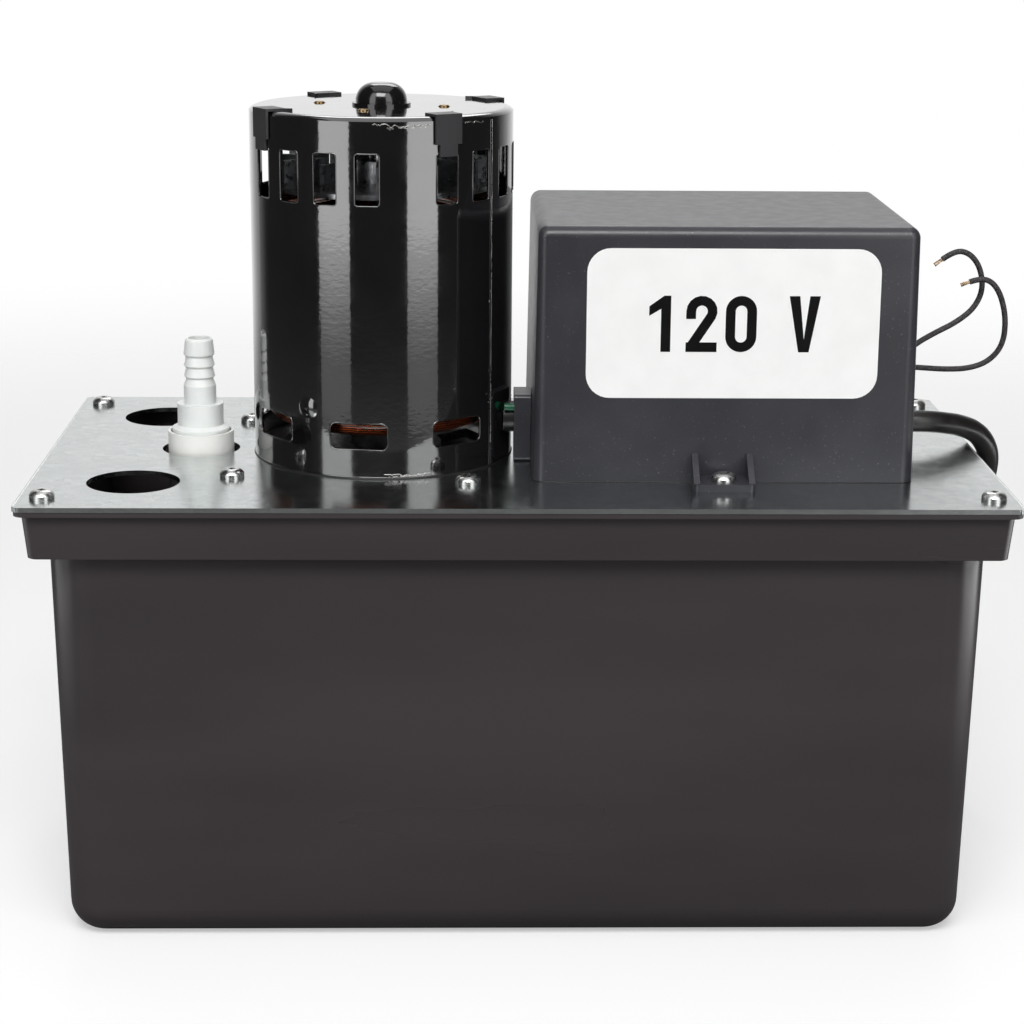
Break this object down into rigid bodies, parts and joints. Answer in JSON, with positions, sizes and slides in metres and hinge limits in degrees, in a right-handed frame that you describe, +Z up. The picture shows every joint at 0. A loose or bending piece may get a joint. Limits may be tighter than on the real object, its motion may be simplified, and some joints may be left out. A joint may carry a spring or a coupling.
{
  "type": "condensate pump",
  "caption": "Tank-mounted condensate pump: a moulded reservoir with a float switch, vertical motor, volute pump and barbed check valve on a sheet metal deck.",
  "frame": {"origin": "middle of the tank's underside, on the surface that the pump stands on", "axes": "+X along the tank to the side where the power cord leaves, +Y to the rear, +Z up"},
  "size_m": [0.3185, 0.2793, 0.2639],
  "materials": {
    "tank_plastic": "satin charcoal moulded plastic",
    "galvanized": "galvanized sheet",
    "zinc_screw": "bright zinc",
    "motor_paint": "gloss black paint",
    "clip_steel": "black spring steel",
    "black_rubber": "black rubber",
    "brass": "brass",
    "cast_metal": "cast alloy",
    "lamination": "stacked laminations",
    "winding": "enamelled copper",
    "bronze": "sintered bronze",
    "pump_plastic": "black glass-filled plastic",
    "white_nylon": "white nylon",
    "ring_white": "warm white plastic",
    "cover_plastic": "fine textured slate grey plastic",
    "green_wire": "green insulation",
    "switch_plastic": "black moulded switch",
    "cord_rubber": "black-brown cord jacket",
    "plug_rubber": "black moulded plug",
    "lead_rubber": "grey-black insulation",
    "shaft_steel": "ground steel",
    "fan_metal": "pressed sheet",
    "float_plastic": "closed-cell float"
  },
  "bodies": {
    "root": {"tank": "tank_plastic", "deck_plate": "galvanized", "deck_screws": "zinc_screw", "pump_mount_screws": "zinc_screw", "cover_screws": "zinc_screw", "motor_shell": "motor_paint", "motor_end_cap": "motor_paint", "cap_clips": "clip_steel", "shaft_dust_cap": "black_rubber", "cap_screws": "brass", "motor_base": "cast_metal", "stator_core": "lamination", "stator_coils": "winding", "upper_bearing": "bronze", "lower_bearing": "bronze", "pump_stand": "pump_plastic", "volute_housing": "pump_plastic", "volute_cover": "pump_plastic", "inlet_strainer": "pump_plastic", "volute_screws": "zinc_screw", "discharge_riser": "white_nylon", "check_valve_body": "ring_white", "valve_gasket": "black_rubber", "hose_barb": "white_nylon", "junction_cover": "cover_plastic", "lead_duct": "cover_plastic", "lead_sleeve": "black_rubber", "ground_wire": "green_wire", "cord_strain_relief": "black_rubber", "lead_grommet": "black_rubber", "float_guide": "white_nylon", "switch_bracket": "galvanized", "switch_screws": "zinc_screw", "pump_switch": "switch_plastic", "switch_pivot_pin": "zinc_screw", "safety_switch": "switch_plastic", "safety_pivot_pin": "zinc_screw", "power_cord": "cord_rubber", "power_cord_coil": "cord_rubber", "plug_body": "plug_rubber", "plug_blades": "brass", "safety_lead_upper": "lead_rubber", "safety_lead_lower": "lead_rubber"},
    "rotor": {"rotor_core": "lamination", "motor_shaft": "shaft_steel", "cooling_fan": "fan_metal", "slinger": "black_rubber", "impeller": "white_nylon"},
    "float_unit": {"float": "float_plastic", "float_rod": "shaft_steel", "rod_collars": "white_nylon"},
    "switch_arm": {"switch_arm": "shaft_steel"},
    "safety_arm": {"safety_arm": "shaft_steel"},
    "check_poppet": {"check_poppet": "black_rubber"}
  },
  "joints": [
    {"name": "rotor_spin", "type": "hinge", "parent": "root", "child": "rotor", "pos_m": [-0.0435, 0, 0.1445], "axis": [0, 0, 1], "continuous": true},
    {"name": "float_slide", "type": "slide", "parent": "root", "child": "float_unit", "axis": [0, 0, 1], "range_m": [0, 0.024]},
    {"name": "switch_arm_tilt", "type": "hinge", "parent": "root", "child": "switch_arm", "pos_m": [0.052, 0, 0.1785], "axis": [0, -1, 0], "range_deg": [0, 31.2]},
    {"name": "safety_arm_tilt", "type": "hinge", "parent": "root", "child": "safety_arm", "pos_m": [0.056, 0, 0.2041], "axis": [0, -1, 0], "range_deg": [0, 4], "stiffness_Nm_per_rad": 0.02},
    {"name": "check_poppet_lift", "type": "slide", "parent": "root", "child": "check_poppet", "axis": [0, 0, 1], "range_m": [0, 0.003]}
  ],
  "couplings": [
    {"joint": "switch_arm_tilt", "follows": "float_slide", "rad_per_m": 22.679}
  ]
}
